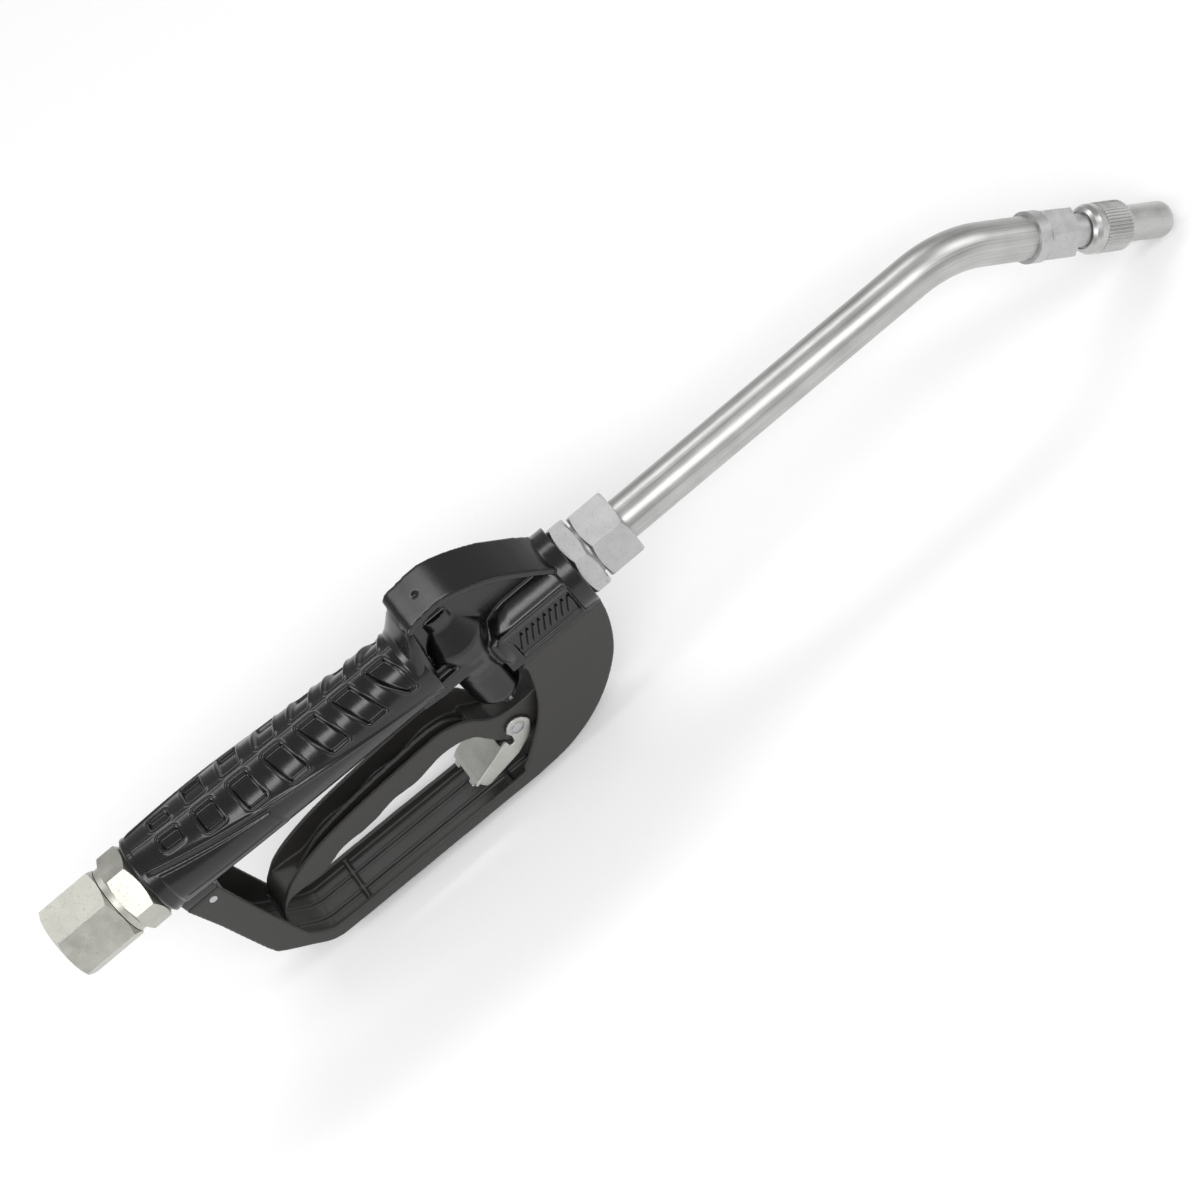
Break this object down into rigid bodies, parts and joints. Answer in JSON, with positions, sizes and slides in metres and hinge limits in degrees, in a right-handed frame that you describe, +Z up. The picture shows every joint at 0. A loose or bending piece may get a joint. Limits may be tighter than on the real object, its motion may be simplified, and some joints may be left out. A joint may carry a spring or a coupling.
{
  "type": "oil control nozzle",
  "caption": "Trigger-operated dispensing nozzle for oil with a swivel inlet, finger-grip lever in a loop guard, bent rigid spout and twist tip.",
  "frame": {"origin": "middle of the inlet mouth, on the axis of the grip", "axes": "+X along the grip towards the spout, +Z up on the hump side with the lever and guard below, +Y across the handle"},
  "size_m": [0.4671, 0.0336, 0.1151],
  "materials": {
    "painted_casting": "semi-gloss black paint on die-cast aluminium",
    "black_nylon": "satin black moulded nylon",
    "zinc_plate": "clear zinc plate, slightly warm",
    "grey_zinc_plate": "grey zinc plate",
    "plated_tube": "satin plated drawn tube",
    "bright_plate": "bright plated turned steel",
    "latch_zinc": "bright zinc plated sheet",
    "bright_steel": "plain turned steel",
    "brass": "turned brass",
    "black_rubber": "nitrile rubber",
    "white_plastic": "white sealing plastic"
  },
  "bodies": {
    "handle": {"valve_body": "painted_casting", "trigger_guard": "black_nylon", "guard_screw_a": "bright_steel", "guard_screw_b": "bright_steel", "guard_pin": "bright_steel", "lever_pin": "bright_steel", "inlet_adapter": "zinc_plate", "inlet_gasket": "black_rubber", "swivel_oring": "black_rubber", "valve_cartridge": "brass", "valve_seat": "white_plastic", "cartridge_oring": "black_rubber", "stem_seal": "black_rubber", "gland_nut": "brass", "outlet_adapter": "grey_zinc_plate", "outlet_oring": "black_rubber", "union_nut": "grey_zinc_plate", "spout_ferrule": "brass", "spout_tube": "plated_tube", "tip_adapter": "grey_zinc_plate", "rear_clip": "bright_steel", "front_clip": "bright_steel", "nose_oring": "black_rubber", "tip_spindle": "bright_steel"},
    "inlet_swivel": {"swivel_nut": "zinc_plate", "swivel_clip": "bright_steel", "inlet_strainer": "brass"},
    "lever": {"lever": "black_nylon", "stem_pad": "bright_steel", "latch_rivet": "bright_steel"},
    "latch": {"latch": "latch_zinc", "latch_spring": "bright_steel"},
    "stem": {"valve_stem": "bright_steel", "poppet": "brass", "poppet_seal": "black_rubber", "valve_spring": "bright_steel"},
    "collar": {"tip_collar": "bright_plate"},
    "nose": {"tip_nose": "bright_plate"}
  },
  "joints": [
    {"name": "inlet_turn", "type": "hinge", "parent": "handle", "child": "inlet_swivel", "pos_m": [0, 0, 0], "axis": [1, 0, 0], "continuous": true},
    {"name": "lever_pull", "type": "hinge", "parent": "handle", "child": "lever", "pos_m": [0.193, 0, -0.05], "axis": [0, 1, 0], "range_deg": [0, 9], "stiffness_Nm_per_rad": 1.2, "springref_deg": -14.32},
    {"name": "latch_swing", "type": "hinge", "parent": "lever", "child": "latch", "pos_m": [0.1649, 0, -0.06], "axis": [0, 1, 0], "range_deg": [0, 18], "stiffness_Nm_per_rad": 0.02, "springref_deg": -17.19},
    {"name": "stem_lift", "type": "slide", "parent": "handle", "child": "stem", "axis": [0, 0, 1], "range_m": [0, 0.0037], "deforming": ["valve_spring"]},
    {"name": "tip_turn", "type": "hinge", "parent": "handle", "child": "collar", "pos_m": [0.43433, 0, -0.06066], "axis": [0.7431, 0, -0.6691], "range_deg": [0, 180]},
    {"name": "nose_slide", "type": "slide", "parent": "handle", "child": "nose", "axis": [0.7431, 0, -0.6691], "range_m": [0, 0.00201]}
  ],
  "couplings": [
    {"joint": "stem_lift", "follows": "lever_pull", "m_per_rad": 0.023},
    {"joint": "nose_slide", "follows": "tip_turn", "m_per_rad": 0.00063662}
  ]
}
